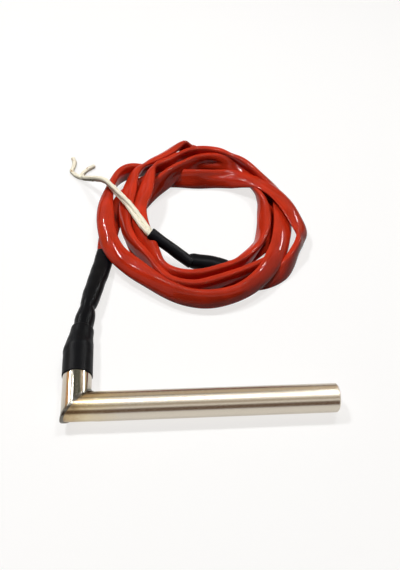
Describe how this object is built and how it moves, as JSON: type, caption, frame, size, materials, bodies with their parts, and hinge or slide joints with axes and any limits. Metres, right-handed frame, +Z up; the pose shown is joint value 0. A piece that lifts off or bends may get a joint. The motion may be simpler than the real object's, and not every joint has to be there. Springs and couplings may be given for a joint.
{
  "type": "cartridge heater",
  "caption": "L-shaped cartridge heater: round steel sheath with a welded right-angle lead exit, black shrink tubes and a coiled red sleeved lead with bare-ended wires.",
  "frame": {"origin": "middle of the heater's own box, without its free lead, on the surface it lies on", "axes": "+X along the sheath towards its tip, +Y along the short elbow leg towards the lead, +Z up from the surface"},
  "size_m": [0.1599, 0.2327, 0.023],
  "materials": {
    "ground_steel": "satin, ground round the tube",
    "polished_steel": "polished",
    "weld_bead": "ground weld with heat tint",
    "magnesia": "matte",
    "ceramic_disc": "matte",
    "resistance_wire": "drawn wire",
    "pin_metal": "drawn rod",
    "ferrule_metal": "plated",
    "glass_sleeve": "woven glass",
    "glass_braid": "braided glass with tracer yarns",
    "potting": "matte cement",
    "shrink_tube": "satin black shrink tube",
    "red_sleeve": "glossy silicone coat on woven glass"
  },
  "bodies": {
    "root": {"sheath": "ground_steel", "end_disc": "ground_steel", "elbow_tube": "polished_steel", "mitre_weld": "weld_bead", "end_spacer": "magnesia", "core": "magnesia", "insulation_fill": "magnesia", "lead_plug": "ceramic_disc", "winding": "resistance_wire", "pin_1": "pin_metal", "pin_2": "pin_metal", "splice_1": "ferrule_metal", "splice_2": "ferrule_metal", "splice_sleeve_1": "glass_sleeve", "splice_sleeve_2": "glass_sleeve", "lead_root_1": "glass_braid", "lead_root_2": "glass_braid", "mouth_seal": "potting", "lower_shrink": "shrink_tube", "upper_shrink": "shrink_tube", "sleeve_start": "red_sleeve", "sleeve_coil": "red_sleeve", "sleeve_end": "red_sleeve", "end_shrink_large": "shrink_tube", "end_shrink_small": "shrink_tube", "lead_tail_1": "glass_braid", "lead_tail_2": "glass_braid"}
  },
  "joints": []
}
